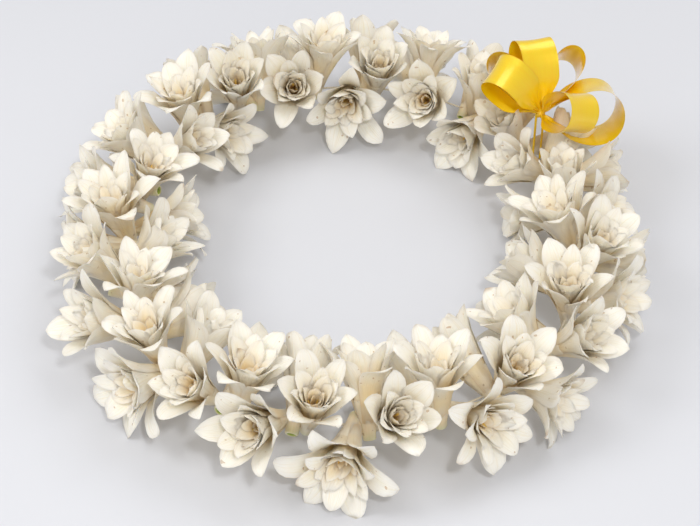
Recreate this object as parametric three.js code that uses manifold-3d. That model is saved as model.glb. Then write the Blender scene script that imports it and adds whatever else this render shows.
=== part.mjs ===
// A fresh lei of double tuberose blooms, laid down as a closed loop on a table, with a ribbon bow
// where its string is tied. Millimetres, +Z up, the table at z = 0.
// Every bloom is threaded sideways through its tube. The blooms turn round the string by the golden
// ratio, so that neighbours settle into each other's gaps, and three at a time share one round.
import * as THREE from "three";
import { mergeVertices } from "three/addons/utils/BufferGeometryUtils.js";
import Module from "manifold-3d";

const wasm = await Module();
wasm.setup();

// The loop that the string takes on the table: a little deeper than wide, as laid down by hand.
const LOOP_RADIUS = 134;
const LOOP_OVAL = 0.065;
const LOOP_SQUARE = 0.012;
const LOOP_SWAY = 0.008;
const LOOP_SWAY_TURN = 0.8;
const STRING_HEIGHT = 20;
const STRING_RADIUS = 0.6;
const STRING_STEPS = 46;
const STRING_SIDES = 6;
const KNOT_RADIUS = 1.7;
const KNOT_OFFSET = 4;
const SEATING_GAP = 0.3;

// The blooms: how many, where they sit on the string and which way they point.
const BLOOM_COUNT = 69;
const ROUND_SIZE = 3;
const SEAT_PITCH = 7.2;
const HEAD_REACH = 28;
const TURN_SHARE = 43 / BLOOM_COUNT;
const LOWEST_TURN = THREE.MathUtils.degToRad(-10);
const HIGHEST_TURN = THREE.MathUtils.degToRad(190);
const OUTWARD_CROWDING = 0.18;
const TURN_SWAY = THREE.MathUtils.degToRad(5);
const STATION_SWAY = 1.6;

// One bloom at its mean size: the tube from its cut end to its throat, then two whorls of petals.
const PETALS = 6;
const SIZE_SWAY = 0.07;
const THREADING_SWAY = 2.4;
const CUT_END_DROP = 8;
const CUT_END_RADIUS = 3.4;
const THROAT_HEIGHT = 12;
const THROAT_RADIUS = 6.8;
const THROAT_FLOOR_RADIUS = 2.2;
const PETAL_THICKNESS = 1.3;
const SHUT_HEAD_RADIUS = 17;
const OPEN_HEAD_RADIUS = 25;
const OUTER_WHORL = {
  offset: 0,
  rootHeight: THROAT_HEIGHT,
  rootRadius: THROAT_RADIUS,
  notchRise: 1.8,
  length: 27,
  halfWidth: 8,
  tipHalfWidth: 3.6,
  cup: 2.4,
  rootLean: 14,
  tipLeanShut: 34,
  tipLeanOpen: 96,
};
const INNER_WHORL = {
  offset: 0.5,
  rootHeight: THROAT_HEIGHT + 1.4,
  rootRadius: 4.7,
  notchRise: 1.5,
  length: 22.5,
  halfWidth: 6.2,
  tipHalfWidth: 0,
  cup: 1.6,
  rootLean: 6,
  tipLeanShut: 16,
  tipLeanOpen: 66,
};
const WIDEST_AT = 0.6;
const WEDGE_FILL = 0.97;
const PETAL_GAP = 0.8;
const FLOOR_SINK = 1.2;
const TABLE_DEPTH = 20;

// The bow: ribbon loops gathered at a waist, whose narrow cord goes down and round the string.
const BOW_STATION_SHARE = (2 * ROUND_SIZE) / BLOOM_COUNT;
const BOW_CLEAR_LENGTH = 12;
const BOW_CLEAR_TURN = THREE.MathUtils.degToRad(40);
const BOW_HEIGHT = 53;
const BOW_LEAN = THREE.MathUtils.degToRad(48);
const RIBBON_WIDTH = 22;
const RIBBON_THICKNESS = 0.8;
const RIBBON_GATHER = 0.13;
const RIBBON_STEPS = 10;
const LOOP_ROOM = 12;
const WAIST_RADIUS = 3;
const CORD_RADIUS = 0.7;
const CORD_ROOM = 3;
// Each loop in the bow's own frame (right, up, towards the viewer): the way it reaches, the way its
// two sides part, its reach, how far the sides part, and how far its far end turns, in degrees.
const BOW_LOOPS = [
  { reach: [-0.13, 0.97, 0.05], part: [0.35, 0.05, 1], length: 43, spread: 12, turn: -6 },
  { reach: [-0.72, 0.62, 0.3], part: [0.45, 0.1, 0.9], length: 39, spread: 14, turn: 6 },
  { reach: [-0.62, 0.76, -0.35], part: [0.76, 0.62, 0], length: 43, spread: 12, turn: 0 },
  { reach: [0.55, -0.05, 0.7], part: [0.1, 1, 0.1], length: 36, spread: 15, turn: 6 },
  { reach: [0.98, 0.06, -0.1], part: [0, 1, 0.35], length: 47, spread: 20, turn: 20 },
  { reach: [0.5, 0.85, -0.35], part: [0.85, -0.5, 0.1], length: 44, spread: 12, turn: 10 },
];

const UP = new THREE.Vector3(0, 0, 1);
const PETAL_WHITE = new THREE.MeshStandardMaterial({ color: 0xf6f0df, roughness: 0.5 });
const STRING_WHITE = new THREE.MeshStandardMaterial({ color: 0xe9e6dc, roughness: 0.9 });
const RIBBON_YELLOW = new THREE.MeshStandardMaterial({ color: 0xffcf0a, roughness: 0.3 });

// The fractional part of n times an irrational number: an even spread of draws from 0 to 1.
function draw(n, irrational) {
  return (n * irrational) % 1;
}

// The string's closed path, as a circle whose radius swells and sways a little with the angle.
class LoopPath extends THREE.Curve {
  constructor() {
    super();
    this.arcLengthDivisions = 720;
  }

  getPoint(share, target = new THREE.Vector3()) {
    const angle = share * 2 * Math.PI;
    const swell = LOOP_OVAL * Math.cos(2 * angle) + LOOP_SQUARE * Math.cos(4 * angle);
    const sway = LOOP_SWAY * Math.cos(3 * angle + LOOP_SWAY_TURN);
    const radius = LOOP_RADIUS * (1 - swell + sway);
    return target.set(radius * Math.cos(angle), radius * Math.sin(angle), STRING_HEIGHT);
  }
}

const loopPath = new LoopPath();
const loopLength = loopPath.getLength();

// The place on the string at a length along it, with the way it runs and the way out of the loop.
function stationAt(length) {
  const share = THREE.MathUtils.euclideanModulo(length / loopLength, 1);
  const along = loopPath.getTangentAt(share);
  return { point: loopPath.getPointAt(share), along, outward: along.clone().cross(UP) };
}

// A closed mesh as a solid, its shared corners merged.
function solidOf(geometry) {
  const bare = geometry.clone();
  bare.deleteAttribute("normal");
  bare.deleteAttribute("uv");
  const merged = mergeVertices(bare, 1e-4);
  return new wasm.Manifold(
    new wasm.Mesh({
      numProp: 3,
      vertProperties: merged.attributes.position.array,
      triVerts: new Uint32Array(merged.index.array),
    }),
  );
}

function geometryOf(solid) {
  const { vertProperties, triVerts } = solid.getMesh();
  return new THREE.BufferGeometry()
    .setAttribute("position", new THREE.BufferAttribute(vertProperties, 3))
    .setIndex(new THREE.BufferAttribute(triVerts, 1));
}

function geometryFrom(corners, triangles) {
  return new THREE.BufferGeometry()
    .setFromPoints(corners)
    .setIndex(triangles);
}

function joined(solids) {
  return solids.reduce((whole, solid) => whole.add(solid));
}

// The largest body of a solid, without the scraps that a cut can leave.
function withoutScraps(solid) {
  return solid.decompose().reduce((a, b) => (a.volume() > b.volume() ? a : b));
}

// Where each bloom sits, the way it points, how open it is and how it is turned on its own axis.
function placeBlooms() {
  const bowStation = BOW_STATION_SHARE * loopLength;
  const roundPitch = (loopLength * ROUND_SIZE) / BLOOM_COUNT;
  return Array.from({ length: BLOOM_COUNT }, (_, index) => {
    const round = Math.floor(index / ROUND_SIZE);
    const seat = (index % ROUND_SIZE) - (ROUND_SIZE - 1) / 2;
    const evenTurn = THREE.MathUtils.lerp(LOWEST_TURN, HIGHEST_TURN, draw(index + 0.5, TURN_SHARE));
    let turn = evenTurn - OUTWARD_CROWDING * Math.sin(evenTurn);
    turn += TURN_SWAY * (2 * draw(index, Math.SQRT2) - 1);
    const headSway = STATION_SWAY * (2 * draw(index, Math.sqrt(3)) - 1);
    const headLength = ((index + 0.5) * loopLength) / BLOOM_COUNT + headSway;
    const fromUpright = turn - Math.PI / 2;
    if (Math.abs(headLength - bowStation) < BOW_CLEAR_LENGTH && Math.abs(fromUpright) < BOW_CLEAR_TURN)
      turn = Math.PI / 2 + Math.sign(fromUpright) * BOW_CLEAR_TURN;
    const root = stationAt((round + 0.5) * roundPitch + seat * SEAT_PITCH).point;
    const above = stationAt(headLength);
    const head = above.point
      .clone()
      .addScaledVector(above.outward, HEAD_REACH * Math.cos(turn))
      .addScaledVector(UP, HEAD_REACH * Math.sin(turn));
    const axis = head.clone().sub(root).normalize();
    const openness = draw(index + 0.3, Math.sqrt(5));
    const size = 1 + SIZE_SWAY * (2 * draw(index, Math.sqrt(7)) - 1);
    const spin = 2 * Math.PI * draw(index, Math.sqrt(11));
    const slide = THREADING_SWAY * (2 * draw(index, Math.sqrt(13)) - 1);
    const side = axis.clone().cross(above.along).normalize();
    const front = side.clone().cross(axis);
    const right = front.clone().multiplyScalar(Math.cos(spin)).addScaledVector(side, Math.sin(spin));
    const ahead = axis.clone().cross(right);
    const matrix = new THREE.Matrix4()
      .makeBasis(right, ahead, axis)
      .scale(new THREE.Vector3(size, size, size))
      .setPosition(root.clone().addScaledVector(axis, slide));
    const headRadius = size * THREE.MathUtils.lerp(SHUT_HEAD_RADIUS, OPEN_HEAD_RADIUS, openness);
    const tip = root.clone().addScaledVector(axis, size * (THROAT_HEIGHT + OUTER_WHORL.length) + slide);
    return { index, round, root, axis, tip, matrix, openness, headRadius };
  });
}

// A point on a petal's middle line, and the ways across it: the line is an arc that leans out from
// the bloom's axis by rootLean at its root and by tipLean at its tip.
function petalPoint(whorl, tipLean, share, angle) {
  const rootLean = THREE.MathUtils.degToRad(whorl.rootLean);
  const bend = THREE.MathUtils.degToRad(tipLean - whorl.rootLean);
  const lean = rootLean + bend * share;
  const curveRadius = whorl.length / bend;
  const radius = whorl.rootRadius + curveRadius * (Math.cos(rootLean) - Math.cos(lean));
  const height = whorl.rootHeight + curveRadius * (Math.sin(lean) - Math.sin(rootLean));
  const outward = new THREE.Vector3(Math.cos(angle), Math.sin(angle), 0);
  return {
    point: outward.clone().multiplyScalar(radius).addScaledVector(UP, height),
    across: new THREE.Vector3(-Math.sin(angle), Math.cos(angle), 0),
    inward: outward.multiplyScalar(-Math.cos(lean)).addScaledVector(UP, Math.sin(lean)),
  };
}

// The corners of one petal past its root: its edge from its left widest point round its tip to its
// right one, and the middle of its widest line on the outer and on the inner face. A petal is never
// wider than its own share of the whorl, so where it stands upright its edges meet its neighbours'.
function petalCorners(whorl, tipLean, angle) {
  const shareOfTurn = WEDGE_FILL * Math.tan(Math.PI / PETALS);
  const place = (along, aside, raised) => {
    const { point, across, inward } = petalPoint(whorl, tipLean, along, angle);
    point.addScaledVector(inward, raised);
    const room = shareOfTurn * Math.hypot(point.x, point.y);
    return point.addScaledVector(across, THREE.MathUtils.clamp(aside, -room, room));
  };
  const tips = whorl.tipHalfWidth > 0 ? [-whorl.tipHalfWidth, whorl.tipHalfWidth] : [0];
  return {
    edge: [
      place(WIDEST_AT, -whorl.halfWidth, whorl.cup),
      ...tips.map((aside) => place(1, aside, 0)),
      place(WIDEST_AT, whorl.halfWidth, whorl.cup),
    ],
    outerMiddle: place(WIDEST_AT, 0, -PETAL_THICKNESS / 2),
    innerMiddle: place(WIDEST_AT, 0, PETAL_THICKNESS / 2),
  };
}

// How far a point is from a bloom's axis, between its root and its tip.
function distanceToAxis(point, bloom) {
  return new THREE.Line3(bloom.root, bloom.tip)
    .closestPointToPoint(point, true, new THREE.Vector3())
    .distanceTo(point);
}

// Whether a point lies on its own bloom's side of every neighbour, and above the table. The room
// between two blooms is shared in the ratio of the widths of their heads.
function hasRoom(point, bloom, neighbours) {
  if (point.z < -FLOOR_SINK) return false;
  const own = distanceToAxis(point, bloom);
  return neighbours.every((other) => {
    const share = bloom.headRadius / (bloom.headRadius + other.headRadius);
    return own < share * (own + distanceToAxis(point, other)) - PETAL_GAP;
  });
}

// The lean of each petal's tip: as far out as the bloom is open, or as far as its neighbours let it.
function petalLeans(whorl, bloom, neighbours, limits) {
  return Array.from({ length: PETALS }, (_, petal) => {
    const angle = ((petal + whorl.offset) * 2 * Math.PI) / PETALS;
    const wanted = THREE.MathUtils.lerp(whorl.tipLeanShut, whorl.tipLeanOpen, bloom.openness);
    const ceiling = limits ? Math.min(limits[petal], limits[(petal + 1) % PETALS]) - 12 : wanted;
    const leastLean = whorl.rootLean + 3;
    let lean = Math.max(leastLean, Math.min(wanted, ceiling));
    const fits = () => {
      const { edge, outerMiddle } = petalCorners(whorl, lean, angle);
      return [...edge, outerMiddle].every((corner) =>
        hasRoom(corner.applyMatrix4(bloom.matrix), bloom, neighbours),
      );
    };
    while (lean > leastLean && !fits()) lean = Math.max(leastLean, lean - 3);
    return lean;
  });
}

// One bloom as a single closed surface: the cut end and the tube, the outer whorl, the floor between
// the whorls, the inner whorl, and the floor of the throat. Faces are wound to point out.
function bloomSolid(bloom, neighbours) {
  const outerLeans = petalLeans(OUTER_WHORL, bloom, neighbours, null);
  const innerLeans = petalLeans(INNER_WHORL, bloom, neighbours, outerLeans);
  const corners = [];
  const triangles = [];
  const add = (point) => corners.push(point) - 1;
  const ring = (radius, height, offset) =>
    Array.from({ length: PETALS }, (_, k) => {
      const angle = ((k + offset) * 2 * Math.PI) / PETALS;
      return add(new THREE.Vector3(radius * Math.cos(angle), radius * Math.sin(angle), height));
    });

  // Adds a whorl on its ring of roots, one below each petal's middle on its outer or inner face, and
  // returns the ring of notches between its petals.
  function addWhorl(whorl, leans, roots, rootsOutside) {
    const { rootRadius, rootHeight, notchRise, offset } = whorl;
    const notches = ring(rootRadius - PETAL_THICKNESS / 2, rootHeight + notchRise, offset + 0.5);
    notches.forEach((notch, k) => {
      const before = notches[(k + PETALS - 1) % PETALS];
      const petal = petalCorners(whorl, leans[k], ((k + offset) * 2 * Math.PI) / PETALS);
      const outline = [before, ...petal.edge.map(add), notch];
      const middles = [add(petal.outerMiddle), add(petal.innerMiddle)];
      for (let side = 0; side < outline.length - 1; side++) {
        triangles.push(middles[0], outline[side + 1], outline[side]);
        triangles.push(middles[1], outline[side], outline[side + 1]);
      }
      if (rootsOutside) {
        triangles.push(middles[0], before, roots[k], middles[0], roots[k], notch);
        triangles.push(middles[1], notch, before);
      } else {
        triangles.push(middles[0], before, notch);
        triangles.push(middles[1], roots[k], before, middles[1], notch, roots[k]);
      }
    });
    return notches;
  }

  const cutEnd = ring(CUT_END_RADIUS, -CUT_END_DROP, 0);
  const tubeRim = ring(THROAT_RADIUS, THROAT_HEIGHT, 0);
  const throat = ring(THROAT_FLOOR_RADIUS, INNER_WHORL.rootHeight, INNER_WHORL.offset);
  const outer = addWhorl(OUTER_WHORL, outerLeans, tubeRim, true);
  const inner = addWhorl(INNER_WHORL, innerLeans, throat, false);
  for (let k = 0; k < PETALS; k++) {
    const next = (k + 1) % PETALS;
    triangles.push(cutEnd[k], cutEnd[next], outer[k]);
    triangles.push(cutEnd[k], outer[k], tubeRim[k], cutEnd[next], tubeRim[next], outer[k]);
    triangles.push(outer[k], outer[next], inner[k], outer[k], inner[k], inner[(k + PETALS - 1) % PETALS]);
    triangles.push(inner[k], throat[next], throat[k]);
    if (k > 1) triangles.push(cutEnd[0], cutEnd[k], cutEnd[k - 1], throat[0], throat[k - 1], throat[k]);
  }
  return solidOf(geometryFrom(corners, triangles).applyMatrix4(bloom.matrix));
}

function boreSolid() {
  const boreRadius = (STRING_RADIUS + SEATING_GAP) / Math.cos(Math.PI / 4);
  return solidOf(new THREE.TubeGeometry(loopPath, STRING_STEPS, boreRadius, 4, true));
}

// Everything below the table's top, which presses the lowest petals flat.
function tableSolid() {
  const size = 4 * LOOP_RADIUS;
  return solidOf(new THREE.BoxGeometry(size, size, TABLE_DEPTH).translate(0, 0, -TABLE_DEPTH / 2));
}

// The blooms of each round, joined at their tubes and threaded on the string. What remains in the
// way of the bow or below the table is trimmed off.
function makeRounds(blooms, obstacles, waist) {
  const bore = boreSolid();
  const table = tableSolid();
  const bow = loopsSolid(waist, SEATING_GAP);
  return Array.from({ length: BLOOM_COUNT / ROUND_SIZE }, (_, round) => {
    const members = blooms.filter((bloom) => bloom.round === round);
    const solids = members.map((bloom) => {
      const near = blooms.filter(
        (other) => other !== bloom && other.root.distanceTo(bloom.root) < 3 * HEAD_REACH,
      );
      return bloomSolid(bloom, [...near, ...obstacles]);
    });
    const solid = withoutScraps(joined(solids).subtract(bore).subtract(table).subtract(bow));
    return namedMesh(`bloom_round_${String(round + 1).padStart(2, "0")}`, geometryOf(solid), PETAL_WHITE);
  });
}

function namedMesh(name, geometry, material) {
  const mesh = new THREE.Mesh(geometry, material);
  mesh.name = name;
  return mesh;
}

// The string: one closed loop, with the knot that ties its ends beside the bow's cord.
function makeString(station) {
  const loop = new THREE.TubeGeometry(loopPath, STRING_STEPS, STRING_RADIUS, STRING_SIDES, true);
  const place = station.point.clone().addScaledVector(station.along, KNOT_OFFSET);
  const knot = new THREE.IcosahedronGeometry(KNOT_RADIUS).translate(place.x, place.y, place.z);
  return namedMesh("string", geometryOf(solidOf(loop).add(solidOf(knot))), STRING_WHITE);
}

// A ribbon loop's own frame and its middle line, which leaves the waist, swings out on one side,
// turns at the far end and comes back on the other side: reach L sin^2, parting S sin(2a) sin(a).
function ribbonCourse({ reach, part, length, spread }) {
  const reachWay = new THREE.Vector3(...reach).normalize();
  const acrossWay = reachWay.clone().cross(new THREE.Vector3(...part)).normalize();
  const partWay = acrossWay.clone().cross(reachWay);
  const middleAt = (share) => {
    const angle = Math.PI * share;
    return reachWay
      .clone()
      .multiplyScalar(length * Math.sin(angle) ** 2)
      .addScaledVector(partWay, spread * Math.sin(2 * angle) * Math.sin(angle));
  };
  return { reachWay, acrossWay, middleAt };
}

// One ribbon loop as a closed strip along its course, gathered to the waist at both ends, and made
// larger all round by room.
function ribbonLoopSolid(loop, room) {
  const { reachWay, acrossWay, middleAt } = ribbonCourse(loop);
  const corners = [];
  const triangles = [];
  for (let step = 0; step <= RIBBON_STEPS; step++) {
    const share = step / RIBBON_STEPS;
    const middle = middleAt(share);
    const ahead = middleAt(share + 0.01).sub(middleAt(share - 0.01)).normalize();
    const across = acrossWay.clone().applyAxisAngle(reachWay, THREE.MathUtils.degToRad(loop.turn) * share);
    across.addScaledVector(ahead, -across.dot(ahead)).normalize();
    const face = ahead.clone().cross(across);
    const opened = THREE.MathUtils.smoothstep(middle.length() / loop.length, 0.05, 0.5);
    const halfWidth = (RIBBON_WIDTH / 2) * THREE.MathUtils.lerp(RIBBON_GATHER, 1, opened) + room;
    for (const [aside, raised] of [
      [-1, -1],
      [1, -1],
      [1, 1],
      [-1, 1],
    ])
      corners.push(
        middle
          .clone()
          .addScaledVector(across, aside * halfWidth)
          .addScaledVector(face, raised * (RIBBON_THICKNESS / 2 + room)),
      );
    if (step === 0) continue;
    const [here, back] = [4 * step, 4 * (step - 1)];
    for (let side = 0; side < 4; side++) {
      const next = (side + 1) % 4;
      triangles.push(back + side, back + next, here + next);
      triangles.push(back + side, here + next, here + side);
    }
  }
  const last = 4 * RIBBON_STEPS;
  triangles.push(0, 2, 1, 0, 3, 2, last, last + 1, last + 2, last, last + 2, last + 3);
  return solidOf(geometryFrom(corners, triangles));
}

// The narrow cord as a closed ring, square to the string: under the string and up into the waist.
function cordSolid(station, waist) {
  const turnRadius = STRING_RADIUS + 4 * SEATING_GAP + CORD_RADIUS;
  const ringPoints = [];
  for (const [centre, lift] of [
    [station.point, -1],
    [waist, 1],
  ])
    for (const [aside, raised] of [
      [-lift, 0],
      [-lift * Math.SQRT1_2, lift * Math.SQRT1_2],
      [0, lift],
      [lift * Math.SQRT1_2, lift * Math.SQRT1_2],
      [lift, 0],
    ])
      ringPoints.push(
        centre
          .clone()
          .addScaledVector(station.outward, -aside * turnRadius)
          .addScaledVector(UP, raised * turnRadius),
      );
  const ring = new THREE.CatmullRomCurve3(ringPoints, true);
  return solidOf(new THREE.TubeGeometry(ring, 18, CORD_RADIUS, 4, true));
}

// The bow faces up and forwards: its own frame leans back by BOW_LEAN about the waist.
function bowMatrix(waist) {
  return new THREE.Matrix4().makeRotationX(BOW_LEAN).setPosition(waist);
}

function loopsSolid(waist, room) {
  const core = solidOf(new THREE.IcosahedronGeometry(WAIST_RADIUS + room));
  const loops = joined([core, ...BOW_LOOPS.map((loop) => ribbonLoopSolid(loop, room))]);
  return solidOf(geometryOf(loops).applyMatrix4(bowMatrix(waist)));
}

function makeBow(station, waist) {
  const whole = withoutScraps(loopsSolid(waist, 0).add(cordSolid(station, waist)));
  return namedMesh("ribbon_bow", geometryOf(whole), RIBBON_YELLOW);
}

// What the petals keep clear of: the cord, and each side of each ribbon loop.
function bowObstacles(station, waist) {
  const sides = BOW_LOOPS.flatMap((loop) =>
    [0.2, 0.35, 0.65, 0.8].map((share) => ({
      root: waist,
      tip: ribbonCourse(loop).middleAt(share).applyMatrix4(bowMatrix(waist)),
      headRadius: LOOP_ROOM,
    })),
  );
  return [{ root: station.point, tip: waist, headRadius: CORD_ROOM }, ...sides];
}

const blooms = placeBlooms();
const bowStation = stationAt(BOW_STATION_SHARE * loopLength);
const waist = bowStation.point.clone().setZ(BOW_HEIGHT);

const lei = new THREE.Group();
lei.add(makeString(bowStation));
lei.add(...makeRounds(blooms, bowObstacles(bowStation, waist), waist));
lei.add(makeBow(bowStation, waist));

// The origin is on the table, below the middle of the whole.
const middle = new THREE.Box3().setFromObject(lei).getCenter(new THREE.Vector3());
lei.position.set(-middle.x, -middle.y, 0);

export default lei;
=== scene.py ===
"""A fresh lei of double tuberose blooms with a yellow satin bow, laid down in a closed loop.

The blooms sit where the solids have them: the same rules place each one on the string, turn it, and
close its petals where a neighbour, the bow or the table is in the way. Here each bloom gets five whorls
of thin, curved petals, stamens and a round tube with its cut end, and the bow gets its satin ribbon.
Lengths are in millimetres until a mesh is made.
"""

import math

import bpy
import numpy as np
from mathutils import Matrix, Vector


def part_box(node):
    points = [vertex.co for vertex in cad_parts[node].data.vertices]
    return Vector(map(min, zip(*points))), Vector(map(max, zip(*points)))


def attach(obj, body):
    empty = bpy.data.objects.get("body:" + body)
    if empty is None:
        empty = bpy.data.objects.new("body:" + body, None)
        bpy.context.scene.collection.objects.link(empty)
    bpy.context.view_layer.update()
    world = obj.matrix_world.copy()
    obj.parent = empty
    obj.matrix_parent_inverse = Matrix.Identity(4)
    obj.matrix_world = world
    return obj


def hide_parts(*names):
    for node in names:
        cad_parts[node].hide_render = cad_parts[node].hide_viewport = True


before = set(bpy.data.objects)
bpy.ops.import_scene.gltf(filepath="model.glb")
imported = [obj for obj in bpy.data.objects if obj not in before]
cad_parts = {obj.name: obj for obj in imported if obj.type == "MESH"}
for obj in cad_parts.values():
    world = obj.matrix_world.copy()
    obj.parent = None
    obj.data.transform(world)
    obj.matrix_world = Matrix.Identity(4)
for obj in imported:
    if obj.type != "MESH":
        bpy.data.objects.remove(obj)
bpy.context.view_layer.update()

MM = 0.001
UP = np.array([0.0, 0.0, 1.0])

# The loop that the string takes on the table.
LOOP_RADIUS = 134
LOOP_OVAL = 0.065
LOOP_SQUARE = 0.012
LOOP_SWAY = 0.008
LOOP_SWAY_TURN = 0.8
LOOP_DIVISIONS = 720
TANGENT_STEP = 1e-4
STRING_HEIGHT = 20
STRING_RADIUS = 0.6
STRING_STEPS = 46

# How many blooms there are, and how they sit and turn on the string.
BLOOM_COUNT = 69
ROUND_SIZE = 3
SEAT_PITCH = 7.2
HEAD_REACH = 28
NEAR_REACH = 3 * HEAD_REACH
TURN_SHARE = 43 / BLOOM_COUNT
LOWEST_TURN = math.radians(-10)
HIGHEST_TURN = math.radians(190)
OUTWARD_CROWDING = 0.18
TURN_SWAY = math.radians(5)
STATION_SWAY = 1.6
SIZE_SWAY = 0.07
THREADING_SWAY = 2.4
OPENNESS_START = 0.3

# One bloom of the solids at its mean size, with its two whorls.
PETALS = 6
THROAT_HEIGHT = 12
THROAT_RADIUS = 6.8
PETAL_THICKNESS = 1.3
SHUT_HEAD_RADIUS = 17
OPEN_HEAD_RADIUS = 25
OUTER_WHORL = {
    "offset": 0, "root_height": THROAT_HEIGHT, "root_radius": THROAT_RADIUS, "length": 27,
    "half_width": 8, "tip_half_width": 3.6, "cup": 2.4, "root_lean": 14, "shut": 34, "open": 96,
}
INNER_WHORL = {
    "offset": 0.5, "root_height": THROAT_HEIGHT + 1.4, "root_radius": 4.7, "length": 22.5,
    "half_width": 6.2, "tip_half_width": 0, "cup": 1.6, "root_lean": 6, "shut": 16, "open": 66,
}
WIDEST_AT = 0.6
WEDGE_FILL = 0.97
PETAL_GAP = 0.8
FLOOR_SINK = 1.2
LEAN_STEP = 3
WHORL_CLEARANCE = 12

# The bow: its place on the string, and its waist above it.
BOW_STATION_SHARE = 2 * ROUND_SIZE / BLOOM_COUNT
BOW_CLEAR_LENGTH = 12
BOW_CLEAR_TURN = math.radians(40)
BOW_HEIGHT = 53
BOW_LEAN = math.radians(48)
LOOP_ROOM = 12
CORD_ROOM = 3

# The bow's loops: which way each reaches and parts, its length, its spread and the turn at its end.
BOW_LOOPS = [
    {"reach": (-0.13, 0.97, 0.05), "part": (0.35, 0.05, 1), "length": 43, "spread": 12, "turn": -6},
    {"reach": (-0.72, 0.62, 0.3), "part": (0.45, 0.1, 0.9), "length": 39, "spread": 14, "turn": 6},
    {"reach": (-0.62, 0.76, -0.35), "part": (0.76, 0.62, 0), "length": 43, "spread": 12, "turn": 0},
    {"reach": (0.55, -0.05, 0.7), "part": (0.1, 1, 0.1), "length": 36, "spread": 15, "turn": 6},
    {"reach": (0.98, 0.06, -0.1), "part": (0, 1, 0.35), "length": 47, "spread": 20, "turn": 20},
    {"reach": (0.5, 0.85, -0.35), "part": (0.85, -0.5, 0.1), "length": 44, "spread": 12, "turn": 10},
]
LOOP_ENDS = (0.01, 0.99)
LOOP_TANGENT_STEP = 0.008
LOOP_OBSTACLES_AT = np.array([0.2, 0.35, 0.65, 0.8])

# The ribbon: its width, its gathers and pleats near the waist, and its section further out.
RIBBON_WIDTH = 22
RIBBON_GATHER = 0.13
RIBBON_OPENS_FROM = 0.03
RIBBON_OPEN_AT = 0.5
PLEAT_HEIGHT = 1.1
PLEAT_WAVES = 2.5
PLEATS_FROM = 0.12
RIBBON_CROWN = 0.8
RIBBON_HALF_THICKNESS = 0.2
RIBBON_EDGE_POWER = 8
RIBBON_END_THINNING = 32

# The gathered waist, the bow's cord and the string's knot.
WAIST_RADIUS = 2.7
WAIST_HALF_HEIGHT = 2.9
WAIST_PLEATS = 9
WAIST_PLEAT_DEPTH = 0.35
WAIST_POLE = 0.02
CORD_RADIUS = 0.7
CORD_CLEARANCE = 1.2
KNOT_OFFSET = 4
KNOT_CORD_RADIUS = 0.5
KNOT_TURNS = 2
KNOT_COIL_RADIUS = 1.0
KNOT_COIL_SWELL = 0.25
KNOT_COIL_WAVES = 1.5
KNOT_SPREAD = 0.7

# How fine the surfaces are.
CLAW_ROWS = 2
BLADE_ROWS = 7
PETAL_COLUMNS = 4
TUBE_SIDES = 12
RIBBON_ROWS = 72
RIBBON_COLUMNS = 10
WAIST_SIDES = 36
WAIST_ROWS = 13
CORD_SIDES = 8
CORD_BEND_POINTS = 13
CORD_LEG_POINTS = 12
STRING_ROWS = 480
KNOT_ROWS = 48
RIM_ANGLE = math.radians(75)
RING_START = np.array([0.31, 0.17, 0.93])


def draw(numbers, irrational):
    """The fractional part of n times an irrational number: an even spread of draws from 0 to 1."""
    return (numbers * irrational) % 1


def sway(numbers, irrational):
    """The same spread of draws, from -1 to 1."""
    return 2 * draw(numbers, irrational) - 1


def unit(vectors):
    """The vectors at length one."""
    return vectors / np.linalg.norm(vectors, axis=-1, keepdims=True)


def smoothstep(values, low, high):
    """3t^2 - 2t^3 of how far each value is from low to high."""
    t = np.clip((values - low) / (high - low), 0, 1)
    return t * t * (3 - 2 * t)


def mix(low, high, share):
    """The value that lies share of the way from low to high."""
    return low + (high - low) * share


# Where the blooms sit.


def string_point(shares):
    """Points of the string: a circle whose radius swells by cosines of 2, 4 and 3 times the angle."""
    angle = np.asarray(shares) * 2 * np.pi
    swell = LOOP_OVAL * np.cos(2 * angle) + LOOP_SQUARE * np.cos(4 * angle)
    bend = LOOP_SWAY * np.cos(3 * angle + LOOP_SWAY_TURN)
    radius = LOOP_RADIUS * (1 - swell + bend)
    height = np.full_like(angle, STRING_HEIGHT)
    return np.stack([radius * np.cos(angle), radius * np.sin(angle), height], -1)


loop_shares = np.arange(LOOP_DIVISIONS + 1) / LOOP_DIVISIONS
loop_chords = np.linalg.norm(np.diff(string_point(loop_shares), axis=0), axis=1)
loop_lengths = np.concatenate([[0], np.cumsum(loop_chords)])
LOOP_LENGTH = loop_lengths[-1]


def station_at(lengths):
    """Points of the string at lengths along it, the way it runs there and the way out of the loop."""
    share = np.interp(np.asarray(lengths) % LOOP_LENGTH, loop_lengths, loop_shares)
    along = unit(string_point(share + TANGENT_STEP) - string_point(share - TANGENT_STEP))
    return string_point(share), along, np.cross(along, UP)


def table_shift():
    """How far the solids were moved so that the whole stands over the origin, read off the string."""
    low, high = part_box("string")
    corners = station_at(np.arange(STRING_STEPS) * LOOP_LENGTH / STRING_STEPS)[0]
    own_middle = (corners.min(0) + corners.max(0)) / 2
    middle = np.array((low + high) / 2) / MM
    return np.array([middle[0] - own_middle[0], middle[1] - own_middle[1], 0])


SHIFT = table_shift()


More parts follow.
